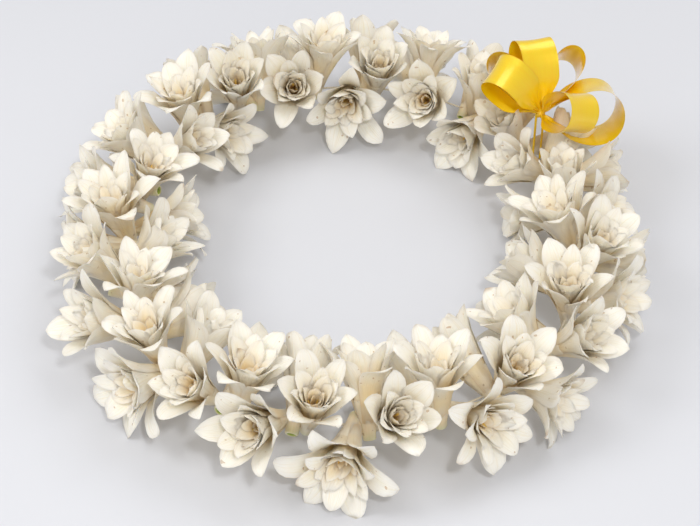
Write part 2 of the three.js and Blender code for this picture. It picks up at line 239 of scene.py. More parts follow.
def place_blooms():
    """Each bloom's number, round, root, tip, base, frame, openness and head radius. Heads step on by
    TURN_SHARE of their range of turns from bloom to bloom, which spreads them evenly."""
    index = np.arange(BLOOM_COUNT)
    bow_station = BOW_STATION_SHARE * LOOP_LENGTH
    round_pitch = LOOP_LENGTH * ROUND_SIZE / BLOOM_COUNT
    rounds = index // ROUND_SIZE
    seat = index % ROUND_SIZE - (ROUND_SIZE - 1) / 2
    even_turn = mix(LOWEST_TURN, HIGHEST_TURN, draw(index + 0.5, TURN_SHARE))
    turn = even_turn - OUTWARD_CROWDING * np.sin(even_turn)
    turn = turn + TURN_SWAY * sway(index, math.sqrt(2))
    head_sway = STATION_SWAY * sway(index, math.sqrt(3))
    head_length = (index + 0.5) * LOOP_LENGTH / BLOOM_COUNT + head_sway
    from_upright = turn - np.pi / 2
    near_bow = np.abs(head_length - bow_station) < BOW_CLEAR_LENGTH
    below_bow = near_bow & (np.abs(from_upright) < BOW_CLEAR_TURN)
    turn = np.where(below_bow, np.pi / 2 + np.sign(from_upright) * BOW_CLEAR_TURN, turn)
    root = station_at((rounds + 0.5) * round_pitch + seat * SEAT_PITCH)[0]
    above, along, outward = station_at(head_length)
    head = above + HEAD_REACH * (np.cos(turn)[:, None] * outward + np.sin(turn)[:, None] * UP)
    axis = unit(head - root)
    openness = draw(index + OPENNESS_START, math.sqrt(5))
    size = 1 + SIZE_SWAY * sway(index, math.sqrt(7))
    spin = (2 * np.pi * draw(index, math.sqrt(11)))[:, None]
    slide = (THREADING_SWAY * sway(index, math.sqrt(13)))[:, None]
    side = unit(np.cross(axis, along))
    front = np.cross(side, axis)
    right = front * np.cos(spin) + side * np.sin(spin)
    ahead = np.cross(axis, right)
    return {
        "index": index,
        "round": rounds,
        "root": root,
        "tip": root + axis * (size[:, None] * (THROAT_HEIGHT + OUTER_WHORL["length"]) + slide),
        "base": root + axis * slide,
        "frame": np.stack([right, ahead, axis], 1) * size[:, None, None],
        "openness": openness,
        "head_radius": size * mix(SHUT_HEAD_RADIUS, OPEN_HEAD_RADIUS, openness),
    }


def one_bloom(blooms, index):
    """What is known of one bloom."""
    return {key: values[index] for key, values in blooms.items()}


def petal_corners(whorl, tip_lean, angle):
    """The solid petal's corners: widest left and right, tips and outer middle, in a bloom's own frame.
    They lie on an arc that leans out from root_lean to tip_lean: its radius goes by the cosine of the
    lean and its height by the sine."""
    root_lean = math.radians(whorl["root_lean"])
    bend = math.radians(tip_lean) - root_lean
    wedge = WEDGE_FILL * math.tan(math.pi / PETALS)

    def place(share, aside, raised):
        """The point at a share of the arc, moved aside and raised towards the axis."""
        lean = root_lean + bend * share
        radius = whorl["root_radius"] + whorl["length"] / bend * (math.cos(root_lean) - math.cos(lean))
        height = whorl["root_height"] + whorl["length"] / bend * (math.sin(lean) - math.sin(root_lean))
        radius -= raised * math.cos(lean)
        height += raised * math.sin(lean)
        aside = max(-wedge * radius, min(wedge * radius, aside))
        return [
            radius * math.cos(angle) - aside * math.sin(angle),
            radius * math.sin(angle) + aside * math.cos(angle),
            height,
        ]

    tips = {-whorl["tip_half_width"], whorl["tip_half_width"]}
    corners = [place(WIDEST_AT, side * whorl["half_width"], whorl["cup"]) for side in (-1, 1)]
    corners += [place(1, aside, 0) for aside in sorted(tips)]
    corners.append(place(WIDEST_AT, 0, -PETAL_THICKNESS / 2))
    return np.array(corners)


def distance_to_axes(points, roots, tips):
    """The distance from each point to each axis, a straight piece from its root to its tip."""
    span = tips - roots
    share = np.einsum("pak,ak->pa", points[:, None] - roots[None], span) / (span**2).sum(1)
    nearest = roots[None] + np.clip(share, 0, 1)[..., None] * span[None]
    return np.linalg.norm(points[:, None] - nearest, axis=2)


def clear_lean(whorl, angle, wanted, own, others):
    """The wanted lean of a petal's tip, or the first step below it at which its corners are above the
    table and nearer to their own axis than to any other, each distance weighed by its head's radius."""
    share = own["head_radius"] / (own["head_radius"] + others["head_radius"])
    least = whorl["root_lean"] + LEAN_STEP
    lean = max(least, wanted)
    while lean > least:
        corners = petal_corners(whorl, lean, angle) @ own["frame"] + own["base"]
        to_own = distance_to_axes(corners, own["root"][None], own["tip"][None])
        to_others = distance_to_axes(corners, others["root"], others["tip"])
        clear = (to_own < share * (to_own + to_others) - PETAL_GAP).all()
        if clear and corners[:, 2].min() >= -FLOOR_SINK:
            break
        lean = max(least, lean - LEAN_STEP)
    return lean


def petal_leans(blooms, obstacles):
    """How far each petal's tip leans out, whorl by whorl: as far as the bloom is open, or as far as the
    petals outside it, the neighbours, the bow and the table let it."""
    leans = np.zeros((BLOOM_COUNT, 2, PETALS))
    for bloom in range(BLOOM_COUNT):
        own = one_bloom(blooms, bloom)
        near = np.linalg.norm(blooms["root"] - own["root"], axis=1) < NEAR_REACH
        near[bloom] = False
        others = {key: np.concatenate([blooms[key][near], values]) for key, values in obstacles.items()}
        for level, whorl in enumerate((OUTER_WHORL, INNER_WHORL)):
            for petal in range(PETALS):
                wanted = mix(whorl["shut"], whorl["open"], own["openness"])
                if level:
                    outside = min(leans[bloom, 0, petal], leans[bloom, 0, (petal + 1) % PETALS])
                    wanted = min(wanted, outside - WHORL_CLEARANCE)
                angle = (petal + whorl["offset"]) * 2 * math.pi / PETALS
                leans[bloom, level, petal] = clear_lean(whorl, angle, wanted, own, others)
    return leans


# Closed surfaces and the pieces made of them.


def sheet_faces(rows, columns):
    """Quads of a closed leaf, as corner numbers: a front sheet of one more point than it has rows and
    columns, and a back sheet that shares the front's rim and has its inner points after the front's."""
    front = np.arange((rows + 1) * (columns + 1)).reshape(rows + 1, columns + 1)
    back = front.copy()
    inner = np.arange((rows - 1) * (columns - 1)).reshape(rows - 1, columns - 1)
    back[1:-1, 1:-1] = front.size + inner
    quads = []
    for sheet, flip in ((front, False), (back, True)):
        corners = [sheet[:-1, :-1], sheet[:-1, 1:], sheet[1:, 1:], sheet[1:, :-1]]
        quads.append(np.stack(corners if flip else corners[::-1], -1).reshape(-1, 4))
    return np.concatenate(quads)


def leaf_points(front, back):
    """Front points of each leaf followed by the inner points of its back, flattened."""
    count = front.shape[0]
    inner = back[:, 1:-1, 1:-1]
    return np.concatenate([front.reshape(count, -1, 3), inner.reshape(count, -1, 3)], 1)


def leaf_values(values):
    """A value for each front point, repeated for the inner points of the back, flattened."""
    count = values.shape[0]
    inner = values[:, 1:-1, 1:-1]
    return np.concatenate([values.reshape(count, -1), inner.reshape(count, -1)], 1)


def joined_faces(faces, points_each, copies):
    """The faces of one shape, numbered on for each of its copies."""
    shift = (np.arange(copies) * points_each)[:, None, None]
    return (faces[None] + shift).reshape(-1, 4)


def turned_faces(rows, sides):
    """Faces of a turned body, as corner numbers: rings of sides points that go round as seen from above,
    in rows from its lowest pole up, and a small flat cap at each pole."""
    number = np.arange(rows * sides).reshape(rows, sides)
    after = np.roll(number, -1, 1)
    quads = np.stack([number[:-1], after[:-1], after[1:], number[1:]], -1).reshape(-1, 4)
    return quads, [number[0, ::-1], number[-1]]


class Surface:
    """Points, faces, a UV pair and a tone (cream with painted shade and glow, green, spot) for each
    point, gathered part by part.
    """

    def __init__(self):
        self.points = []
        self.quads = []
        self.caps = []
        self.uvs = []
        self.tones = []
        self.count = 0

    def add(self, points, quads, uvs, tones, caps=()):
        """Adds one part, whose quads and caps are numbered from its own first point."""
        self.points.append(points)
        self.quads.append(quads + self.count)
        self.caps.extend((cap + self.count).tolist() for cap in caps)
        self.uvs.append(uvs)
        self.tones.append(tones)
        self.count += len(points)

    def piece(self, name, material, node):
        """Makes the mesh object, which rides on the lei and stands for its CAD node."""
        mesh = bpy.data.meshes.new(name)
        points = (np.concatenate(self.points) + SHIFT) * MM
        quads = np.concatenate(self.quads)
        mesh.from_pydata(points.tolist(), [], quads.tolist() + self.caps)
        corner_points = np.zeros(len(mesh.loops), int)
        mesh.loops.foreach_get("vertex_index", corner_points)
        uvs = np.concatenate(self.uvs)[corner_points]
        mesh.uv_layers.new(name="UVMap").data.foreach_set("uv", uvs.ravel())
        tones = np.concatenate(self.tones)
        tones = np.concatenate([tones, np.ones((len(tones), 1))], 1)
        mesh.attributes.new("tone", "FLOAT_COLOR", "POINT").data.foreach_set("color", tones.ravel())
        mesh.shade_smooth()
        mesh.set_sharp_from_angle(angle=RIM_ANGLE)
        mesh.materials.append(material)
        made = bpy.data.objects.new(name, mesh)
        bpy.context.scene.collection.objects.link(made)
        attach(made, "root")
        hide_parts(node)


# How every petal's blade is shaped: shares of its length and half width, but for the cup's radii and
# the crease's depth in millimetres.
EDGE_CROWDING = 0.85
CURL_START = 0.6
WIDENING_START = -0.15
CLAW_NARROWING = 0.8
TIP_FULLNESS = 1.006
CUP_RADII = (4, 16)
RIPPLE_WAVES = 1.4
RIPPLE_SLANT = 1.4
CREASE_DEPTH = 0.3
CREASE_WIDTH = 0.3
CREASE_FADE = 0.7
EDGE_THINNING = 2.5
TIP_THINNING = 5
EDGE_DRAWN_BACK = 0.12


def blade_rows():
    """The way along the blade and the way up the claw at each row of a petal's points."""
    round_tip = WIDEST_AT + (1 - WIDEST_AT) * np.sin(np.linspace(0, np.pi / 2, BLADE_ROWS - 1))
    blade = np.concatenate([np.zeros(CLAW_ROWS), [0, WIDEST_AT / 2], round_tip])
    return blade, np.clip(np.arange(len(blade)) / CLAW_ROWS, 0, 1)


def petal_lines(column, blade, claw):
    """The lean, radius and height of many petals' middle lines, and their half widths, row by row.

    A middle line climbs the tube as the petal's claw, leaning by claw_lean, then leaves the throat
    leaning by root_lean and turns at an even rate to tip_lean, plus a curl by the square of the way past
    CURL_START. The blade widens to widest_at and narrows to a rounded tip, a power of an ellipse.
    """
    curl = column["curl"] * np.clip((blade - CURL_START) / (1 - CURL_START), 0, 1) ** 2
    lean = mix(column["root_lean"], column["tip_lean"], blade) + curl
    lean = np.radians(np.where(claw < 1, column["claw_lean"], lean))
    step = np.diff(claw) * column["claw"] + np.diff(blade) * column["length"]
    mid_lean = (lean[:, 1:] + lean[:, :-1]) / 2
    start = np.zeros((len(lean), 1))
    radius = np.concatenate([start, np.cumsum(step * np.sin(mid_lean), 1)], 1)
    height = np.concatenate([start, np.cumsum(step * np.cos(mid_lean), 1)], 1)
    radius += column["root_radius"] - radius[:, [CLAW_ROWS]]
    height += column["root_height"] - height[:, [CLAW_ROWS]]
    widening = smoothstep(blade, WIDENING_START, column["widest_at"])
    root_share = mix(column["root_share"], 1, widening) * mix(CLAW_NARROWING, 1, claw)
    past_widest = np.clip((blade - column["widest_at"]) / (1 - column["widest_at"]), 0, 1)
    half_width = column["half_width"] * root_share
    half_width = half_width * (TIP_FULLNESS - past_widest ** column["tip_power"]) ** column["tip_round"]
    return lean, radius, height, half_width


def petal_sheets(petals):
    """Front and back sheets of many petals in their blooms' frames, with their across and along shares.

    Across its middle line, a petal's edges rise and are drawn back by the square of the way across,
    ripple by a sine of the way along, and tilt with the twist, and a crease runs down its middle. The
    sheets part by the thickness, which runs out to the edges.
    """
    blade, claw = blade_rows()
    across = np.linspace(-1, 1, PETAL_COLUMNS + 1)
    across = np.sign(across) * np.abs(across) ** EDGE_CROWDING
    column = {key: np.asarray(value, float)[:, None] for key, value in petals.items()}
    lean, radius, height, half_width = petal_lines(column, blade, claw)

    u = across[None, None]
    v = blade[None, :, None]
    grid = {key: value[..., None] for key, value in column.items()}
    width = half_width[..., None]
    cup_radius = np.clip(radius, *CUP_RADII)[..., None] * grid["cup_share"]
    raised = (u * width) ** 2 / (2 * cup_radius)
    ripple_angle = 2 * np.pi * (RIPPLE_WAVES * v + grid["phase"]) + RIPPLE_SLANT * u
    raised = raised + grid["ripple"] * v * u**2 * np.sin(ripple_angle)
    raised = raised + grid["twist"] * v * u * width
    raised = raised - CREASE_DEPTH * np.exp(-((u / CREASE_WIDTH) ** 2)) * (1 - CREASE_FADE * v)
    body = (1 - np.abs(u) ** EDGE_THINNING) * np.clip((1 - v) * TIP_THINNING, 0, 1) * claw[None, :, None]
    half_thick = grid["thickness"] / 2 * body
    drawn_back = EDGE_DRAWN_BACK * u**2 * width * v
    sin_lean, cos_lean = np.sin(lean)[..., None], np.cos(lean)[..., None]

    def sheet(offset):
        """The petals' points, lifted by their rise and an offset."""
        lift = raised + offset
        sheet_radius = radius[..., None] - lift * cos_lean - drawn_back * sin_lean
        sheet_height = height[..., None] + lift * sin_lean - drawn_back * cos_lean
        aside = u * width
        cos, sin = np.cos(grid["angle"]), np.sin(grid["angle"])
        x = sheet_radius * cos - aside * sin
        y = sheet_radius * sin + aside * cos
        return np.stack([x, y, sheet_height], -1)

    shape = raised.shape
    return sheet(half_thick), sheet(-half_thick), np.broadcast_to(u, shape), np.broadcast_to(v, shape)


# How much a petal differs from its whorl's mean: in place, lean, curl, length and width.
OUTER_SWAYS = {"turn": 0.07, "lean": 4, "curl": 18, "length": 0.07, "width": 0.18}
INNER_SWAYS = {"turn": 0.2, "lean": 8, "curl": 10, "length": 0.14, "width": 0.26}

# The whorls from the outside in: which of the solids' petals theirs follow and by what share of the
# lean, where the first one stands, how they sway, and their mean petal.
WHORLS = [
    {
        "follows": [0, 1, 2, 3, 4, 5], "lean_share": 1, "lean_more": 0, "first": 0,
        "sways": {**OUTER_SWAYS, "turn": 0},
        "petal": {
            "root_radius": 6.6, "root_height": 12, "root_lean": 14, "length": 32, "half_width": 7,
            "root_share": 0.56, "claw": 11.5, "claw_lean": 12, "curl": 10, "twist": 0.1, "thickness": 0.9,
        },
    },
    {
        "follows": [0, 1, 2, 3, 4, 5], "lean_share": 1, "lean_more": 0, "first": 0.5,
        "sways": OUTER_SWAYS,
        "petal": {
            "root_radius": 4.9, "root_height": 13, "root_lean": 8, "length": 28, "half_width": 5.8,
            "root_share": 0.5, "claw": 1, "claw_lean": 7, "curl": 6, "twist": 0.16, "thickness": 0.9,
        },
    },
    {
        "follows": [0, 1, 2, 3, 4, 5], "lean_share": 0.66, "lean_more": 3, "first": 0.25,
        "sways": {**INNER_SWAYS, "lean": 4},
        "petal": {
            "root_radius": 3.9, "root_height": 13.1, "root_lean": 6, "length": 23, "half_width": 4.8,
            "root_share": 0.48, "claw": 1, "claw_lean": 6, "curl": 2, "twist": 0.24, "thickness": 0.85,
        },
    },
    {
        "follows": [0, 1, 2, 4, 5], "lean_share": 0.42, "lean_more": 3, "first": 0.2,
        "sways": INNER_SWAYS,
        "petal": {
            "root_radius": 2.9, "root_height": 13.2, "root_lean": 4, "length": 18, "half_width": 3.9,
            "root_share": 0.45, "claw": 1, "claw_lean": 5, "curl": -4, "twist": 0.32, "thickness": 0.8,
        },
    },
    {
        "follows": [0, 2, 4], "lean_share": 0.2, "lean_more": 3, "first": 0.65,
        "sways": INNER_SWAYS,
        "petal": {
            "root_radius": 1.8, "root_height": 13.2, "root_lean": 2, "length": 13, "half_width": 2.9,
            "root_share": 0.5, "claw": 1, "claw_lean": 3, "curl": -14, "twist": 0.5, "thickness": 0.8,
        },
    },
]
PRESSED_LEAN = 4
TUCKED_WHORLS = 2
TUCK_RADIUS = 0.8
TUCK_LEAN = 3
UNDER_BOW = 70
UNDER_BOW_LENGTH = 0.88
RIPPLE_WIDTH = 8

# What else differs between petals: its mean, how far it sways, and the draw that sways it.
SHAPE_SWAYS = {
    "widest_at": (0.6, 0.07, "widest"),
    "tip_power": (2.3, 0.6, "tip"),
    "tip_round": (0.62, 0.2, "twist"),
    "cup_share": (0.95, 0.3, "cup"),
    "ripple": (0.9, 0.5, "ripple"),
    "phase": (0.5, 0.5, "phase"),
    "spot": (0.5, 0.5, "spot"),
}

# The numbers that a petal's draws are taken at, and their irrational steps.
DRAWS_PER_BLOOM = 31
DRAWS_PER_WHORL = 7
SWAY_ROOTS = {
    "turn": math.sqrt(2),
    "curl": math.sqrt(3),
    "length": math.sqrt(5),
    "width": math.sqrt(6),
    "tip": math.sqrt(7),
    "cup": math.sqrt(8),
    "ripple": math.sqrt(10),
    "phase": math.sqrt(11),
    "twist": math.sqrt(13),
    "spot": math.sqrt(14),
    "lean": math.sqrt(15),
    "widest": math.sqrt(17),
}


def bloom_petals(bloom, waist):
    """The petals of one bloom, as a dictionary of arrays. The two outer whorls lean as the solids' do,
    pressed a little further into their neighbours, every other petal tucked in. The inner ones stand
    ever closer to the axis. Under the bow the petals are shorter and press on nothing."""
    under_bow = np.linalg.norm(bloom["tip"] - waist) < UNDER_BOW
    leans = bloom["leans"] + (0 if under_bow else PRESSED_LEAN)
    rows = []
    for level, whorl in enumerate(WHORLS):
        size = whorl["sways"]
        tips = leans[min(level, 1)][whorl["follows"]] * whorl["lean_share"] + whorl["lean_more"]
        for petal, tip_lean in enumerate(tips):
            number = bloom["index"] * DRAWS_PER_BLOOM + level * DRAWS_PER_WHORL + petal + 1
            swung = {key: sway(number, root) for key, root in SWAY_ROOTS.items()}
            tucked = petal % 2 if level < TUCKED_WHORLS else 0
            row = {"level": level, **whorl["petal"]}
            turn = petal + whorl["first"] + size["turn"] * swung["turn"]
            row["angle"] = turn * 2 * math.pi / len(tips)
            row["root_radius"] -= TUCK_RADIUS * tucked
            row["tip_lean"] = tip_lean - TUCK_LEAN * tucked + size["lean"] * swung["lean"]
            row["curl"] += size["curl"] * swung["curl"]
            row["length"] *= 1 + size["length"] * swung["length"]
            row["length"] *= UNDER_BOW_LENGTH if under_bow else 1
            row["half_width"] *= 1 + size["width"] * swung["width"]
            row["twist"] *= swung["twist"]
            for key, (mean, swing, source) in SHAPE_SWAYS.items():
                row[key] = mean + swing * swung[source]
            row["ripple"] = row["ripple"] * whorl["petal"]["half_width"] / RIPPLE_WIDTH
            rows.append(row)
    return {key: np.array([row[key] for row in rows], float) for key in rows[0]}


# How high above the table a pressed point lies, and how much of its own height it keeps.
TABLE_TOUCH = 0.05
TABLE_GIVE = 0.02


def in_place(points, bloom):
    """Points of a bloom's own frame in the lei's, those below the table pressed flat on it."""
    placed = points @ bloom["frame"] + bloom["base"]
    placed[..., 2] = np.maximum(placed[..., 2], TABLE_TOUCH + TABLE_GIVE * placed[..., 2])
    return placed


def add_leaves(surface, bloom, petals, tone_of):
    """Adds leaves that grow in a bloom, toned by a function of the ways across and along them."""
    front, back, u, v = petal_sheets(petals)
    points = in_place(leaf_points(front, back), bloom)
    count, each = points.shape[:2]
    tones = np.stack([leaf_values(tone + 0 * v) for tone in tone_of(u, v)], -1)
    uvs = np.stack([leaf_values(u) / 2 + 0.5, leaf_values(v)], -1)
    quads = joined_faces(sheet_faces(CLAW_ROWS + BLADE_ROWS, PETAL_COLUMNS), each, count)
    surface.add(points.reshape(-1, 3), quads, uvs.reshape(-1, 2), tones.reshape(-1, 3))


# How cream and green a petal's root is, how fast that fades, and how much creamer each whorl is: partly
# real cream, partly painted warm shade deeper in the head.
ROOT_CREAM = 0.5
ROOT_CREAM_FADE = 1.3
WHORL_CREAM_AND_SHADE = 0.16
WHORL_CREAM_AND_SHADE_FADE = 0.6
ROOT_GREEN_REACH = 0.12


def add_petals(surface, bloom, waist):
    """Adds one bloom's petals: cream at the roots, creamer deep in the head as real cream plus painted
    warm shade, white towards the tips.
    """
    petals = bloom_petals(bloom, waist)
    level = petals.pop("level")[:, None, None]
    spot = petals.pop("spot")[:, None, None]

    def tone_of(u, v):
        from_root = (1 - v) ** ROOT_CREAM_FADE * ROOT_CREAM
        # Inner whorls get creamer towards their roots: partly real cream, partly painted warm shade deep
        # in the head.
        heart_cream_and_shade = WHORL_CREAM_AND_SHADE * level * (1 - WHORL_CREAM_AND_SHADE_FADE * v)
        green = np.clip(ROOT_GREEN_REACH - v, 0, 1) * (level < 1)
        return from_root + heart_cream_and_shade, green, spot

    add_leaves(surface, bloom, petals, tone_of)


# A stamen, shaped as a petal is, how it sways, and its tones.
STAMENS = 3
STAMEN = {
    "root_radius": 1.1, "root_height": 13.5, "root_lean": 4, "length": 10.5, "half_width": 0.8,
    "root_share": 0.4, "claw": 1, "claw_lean": 4, "curl": 0, "twist": 0, "thickness": 1.2,
    "widest_at": 0.75, "tip_power": 2, "tip_round": 0.5, "cup_share": 1, "ripple": 0, "phase": 0,
}
STAMEN_LEAN = 18
STAMEN_LEAN_SWAY = 12
FILAMENT_CREAM = 1.2
ANTHER_CREAM = 0.5
ANTHER_FROM = 0.4
ANTHER_FULL_AT = 0.55


def add_stamens(surface, bloom):
    """Adds the slender stamens, as narrow leaves that stand close to the axis."""
    turns = (np.arange(STAMENS) + draw(bloom["index"], math.sqrt(19))) * 2 * np.pi / STAMENS
    stamens = {key: np.full(STAMENS, value, float) for key, value in STAMEN.items()}
    stamens["angle"] = turns
    stamens["tip_lean"] = STAMEN_LEAN + STAMEN_LEAN_SWAY * np.cos(STAMENS * turns + bloom["index"])

    def tone_of(u, v):
        return FILAMENT_CREAM + ANTHER_CREAM * smoothstep(v, ANTHER_FROM, ANTHER_FULL_AT), 0, 0

    add_leaves(surface, bloom, stamens, tone_of)


# The tube's turned profile, from the middle of its cut end up to the throat and in to the axis: height,
# radius, cream and green. The throat floor's highest cream is partly real yellow and partly painted glow
# deep in the head.
TUBE_PROFILE = [
    (-5.4, 0.02, 1, 1),
    (-5.5, 0.8, 1, 1),
    (-6.2, 1.4, 1, 1),
    (-7.7, 1.9, 0.6, 0.85),
    (-8, 2.5, 0.4, 0.45),
    (-7.9, 3.1, 0.4, 0.4),
    (-7.2, 3.4, 0.4, 0.45),
    (-4, 3.6, 0.45, 0.3),
    (0, 4.25, 0.45, 0.1),
    (4, 5.0, 0.45, 0.04),
    (8, 5.9, 0.45, 0),
    (11, 6.6, 0.45, 0),
    (12.6, 6.8, 0.45, 0),
    (13.4, 6.1, 0.5, 0),
    (12.6, 3.6, 1, 0),
    (11.8, 0.02, 1.4, 0.1),
]
TUBE_LOBES = 6
TUBE_LOBE_DEPTH = 0.035
LOBES_FROM = -4
LOBES_FULL_AT = 12


def add_tube(surface, bloom):
    """Adds the floret's tube with its cut end: a turned profile, softly six-lobed towards the throat."""
    heights, radii, cream_shade_and_glow, green = (np.array(values, float) for values in zip(*TUBE_PROFILE))
    angle = np.arange(TUBE_SIDES) * 2 * np.pi / TUBE_SIDES
    lobed = smoothstep(heights, LOBES_FROM, LOBES_FULL_AT)[:, None]
    radius = radii[:, None] * (1 + TUBE_LOBE_DEPTH * np.cos(TUBE_LOBES * angle)[None] * lobed)
    shape = radius.shape
    height = np.broadcast_to(heights[:, None], shape)
    points = np.stack([radius * np.cos(angle), radius * np.sin(angle), height], -1).reshape(-1, 3)
    quads, caps = turned_faces(*shape)
    share = np.broadcast_to(np.linspace(0, 1, len(heights))[:, None], shape)
    uvs = np.stack([np.broadcast_to(angle / (2 * np.pi), shape), share], -1).reshape(-1, 2)
    tone_rows = np.stack([cream_shade_and_glow, green, 0 * cream_shade_and_glow], -1)
    tones = np.repeat(tone_rows, TUBE_SIDES, 0)
    surface.add(in_place(points, bloom), quads, uvs, tones, caps)


# The bow, its cord and the string.


def loop_frames(loop, shares):
    """The middle line of a ribbon loop and its ways ahead, across and out of its face, in the bow's
    frame: reach L sin^2 a, parting S sin 2a sin a, for a from 0 to half a turn."""
    reach = unit(np.array(loop["reach"], float))
    across = unit(np.cross(reach, np.array(loop["part"], float)))
    part = np.cross(across, reach)

    def middle_at(share):
        """Points of the middle line."""
        angle = np.pi * share[:, None]
        swing = loop["spread"] * np.sin(2 * angle) * np.sin(angle)
        return loop["length"] * np.sin(angle) ** 2 * reach + swing * part

    middle = middle_at(shares)
    inside = np.clip(shares, *LOOP_ENDS)
    ahead = unit(middle_at(inside + LOOP_TANGENT_STEP) - middle_at(inside - LOOP_TANGENT_STEP))
    turn = np.radians(loop["turn"]) * shares[:, None]
    turned = across * np.cos(turn) + np.cross(reach, across) * np.sin(turn)
    side = unit(turned - ahead * (turned * ahead).sum(1, keepdims=True))
    return middle, ahead, side, np.cross(ahead, side)


def bow_place(points, waist):
    """Points of the bow's own frame in the lei's: leaning back by BOW_LEAN about the waist."""
    cos, sin = math.cos(BOW_LEAN), math.sin(BOW_LEAN)
    turn = np.array([[1, 0, 0], [0, cos, -sin], [0, sin, cos]])
    return points @ turn.T + waist


def bow_obstacles(waist, bow_root):
    """What the petals keep clear of: the cord, and each side of each ribbon loop."""
    tips = [waist]
    for loop in BOW_LOOPS:
        middle = loop_frames(loop, LOOP_OBSTACLES_AT)[0]
        tips.extend(bow_place(middle, waist))
    roots = [bow_root] + [waist] * (len(tips) - 1)
    radii = [CORD_ROOM] + [LOOP_ROOM] * (len(tips) - 1)
    return {"root": np.array(roots), "tip": np.array(tips), "head_radius": np.array(radii, float)}


def add_ribbon_loop(surface, loop, waist):
    """Adds one loop of satin ribbon: a thin leaf carried along its middle line, full width but for the
    gathers at the waist, where it folds in pleats, cosines of the way across."""
    shares = np.linspace(0, 1, RIBBON_ROWS + 1)
    middle, _, side, face = loop_frames(loop, shares)
    reach_share = np.linalg.norm(middle, axis=1) / loop["length"]
    opened = smoothstep(reach_share, RIBBON_OPENS_FROM, RIBBON_OPEN_AT)[:, None]
    half_width = RIBBON_WIDTH / 2 * mix(RIBBON_GATHER, 1, opened)
    u = np.linspace(-1, 1, RIBBON_COLUMNS + 1)[None]
    pleated = smoothstep(reach_share, 0, PLEATS_FROM)[:, None]
    pleat = PLEAT_HEIGHT * (1 - opened) * np.cos(PLEAT_WAVES * np.pi * u) * pleated
    lift = pleat + RIBBON_CROWN * opened * (1 - u**2)
    thinning = np.clip(RIBBON_END_THINNING * shares * (1 - shares), 0, 1)[:, None]
    body = RIBBON_HALF_THICKNESS * (1 - np.abs(u) ** RIBBON_EDGE_POWER) * thinning
    centre = middle[:, None] + (u * half_width)[..., None] * side[:, None]
    front = centre + (lift + body)[..., None] * face[:, None]
    back = centre + (lift - body)[..., None] * face[:, None]
    points = bow_place(leaf_points(front[None], back[None])[0], waist)
    along = np.cumsum(np.concatenate([[0], np.linalg.norm(np.diff(middle, axis=0), axis=1)]))
    grid_u = np.broadcast_to(u / 2 + 0.5, lift.shape)
    grid_v = np.broadcast_to(along[:, None] / RIBBON_WIDTH, lift.shape)
    uvs = np.stack([leaf_values(grid_u[None])[0], leaf_values(grid_v[None])[0]], -1)
    fold = leaf_values((1 - opened + 0 * u)[None])[0]
    tones = np.stack([fold, 0 * fold, 0 * fold], -1)
    surface.add(points, sheet_faces(RIBBON_ROWS, RIBBON_COLUMNS), uvs, tones)


def swept_tube(path, radius):
    """Points and quads of a round tube along a closed path. Its cross sections stand square to the way
    the path runs, turned from a fixed direction."""
    ahead = unit(np.roll(path, -1, 0) - np.roll(path, 1, 0))
    across = unit(np.cross(ahead, RING_START))
    rise = np.cross(across, ahead)
    angle = np.arange(CORD_SIDES) * 2 * np.pi / CORD_SIDES
    ring = across[:, None] * np.cos(angle)[None, :, None] + rise[:, None] * np.sin(angle)[None, :, None]
    points = path[:, None] + ring * radius
    number = np.arange(len(path) * CORD_SIDES).reshape(len(path), CORD_SIDES)
    after, beside = np.roll(number, -1, 0), np.roll(number, -1, 1)
    quads = np.stack([number, after, np.roll(after, -1, 1), beside], -1).reshape(-1, 4)
    return points.reshape(-1, 3), quads


def add_swept(surface, path, radius, tone):
    """Adds a closed tube along a path, with the ways round and along it as its UV pair."""
    points, quads = swept_tube(path, radius)
    along = np.repeat(np.arange(len(path)) / len(path), CORD_SIDES)
    around = np.tile(np.arange(CORD_SIDES) / CORD_SIDES, len(path))
    tones = np.tile(np.array(tone, float), (len(points), 1))
    surface.add(points, quads, np.stack([around, along], -1), tones)


def cord_path(bow_root, waist, outward):
    """The bow's cord: two straight legs joined by half circles, under the string and in the waist."""
    turn_radius = STRING_RADIUS + CORD_CLEARANCE + CORD_RADIUS
    half = np.linspace(0, np.pi, CORD_BEND_POINTS)
    bend = turn_radius * (np.cos(half)[:, None] * outward + np.sin(half)[:, None] * UP)
    lower = bow_root - bend
    upper = waist + bend
    rise = np.linspace(0, 1, CORD_LEG_POINTS)[1:-1, None]
    first_leg = mix(lower[-1], upper[0], rise)
    second_leg = mix(upper[-1], lower[0], rise)
    return np.concatenate([lower, first_leg, upper, second_leg])


def knot_path(bow_root, along, outward):
    """The string's knot beside the bow: a closed coil of two turns round the string, whose radius swells
    by a cosine and which spreads along the string by a sine of half the turn."""
    turn = np.linspace(0, KNOT_TURNS * 2 * np.pi, KNOT_ROWS, endpoint=False)
    coil = (KNOT_COIL_RADIUS + KNOT_COIL_SWELL * np.cos(KNOT_COIL_WAVES * turn))[:, None]
    ring = np.cos(turn)[:, None] * outward + np.sin(turn)[:, None] * UP
    centre = bow_root + along * KNOT_OFFSET
    return centre + coil * ring + KNOT_SPREAD * np.sin(turn / 2)[:, None] * along


def add_waist(surface, waist):
    """Adds the gathered waist: a small round body pleated lengthwise, its radius swelling by a cosine of
    WAIST_PLEATS times the angle."""
    theta = np.arange(WAIST_SIDES) * 2 * np.pi / WAIST_SIDES
    phi = np.linspace(np.pi - WAIST_POLE, WAIST_POLE, WAIST_ROWS)
    pleats = WAIST_RADIUS + WAIST_PLEAT_DEPTH * np.cos(WAIST_PLEATS * theta)
    radius = pleats[None] * np.sin(phi)[:, None]
    height = np.broadcast_to((WAIST_HALF_HEIGHT * np.cos(phi))[:, None], radius.shape)
    points = np.stack([radius * np.cos(theta), radius * np.sin(theta), height], -1).reshape(-1, 3)
    quads, caps = turned_faces(WAIST_ROWS, WAIST_SIDES)
    flat = np.zeros((len(points), 3))
    flat[:, 0] = 1
    surface.add(bow_place(points, waist), quads, flat[:, :2], flat, caps)


# Materials.


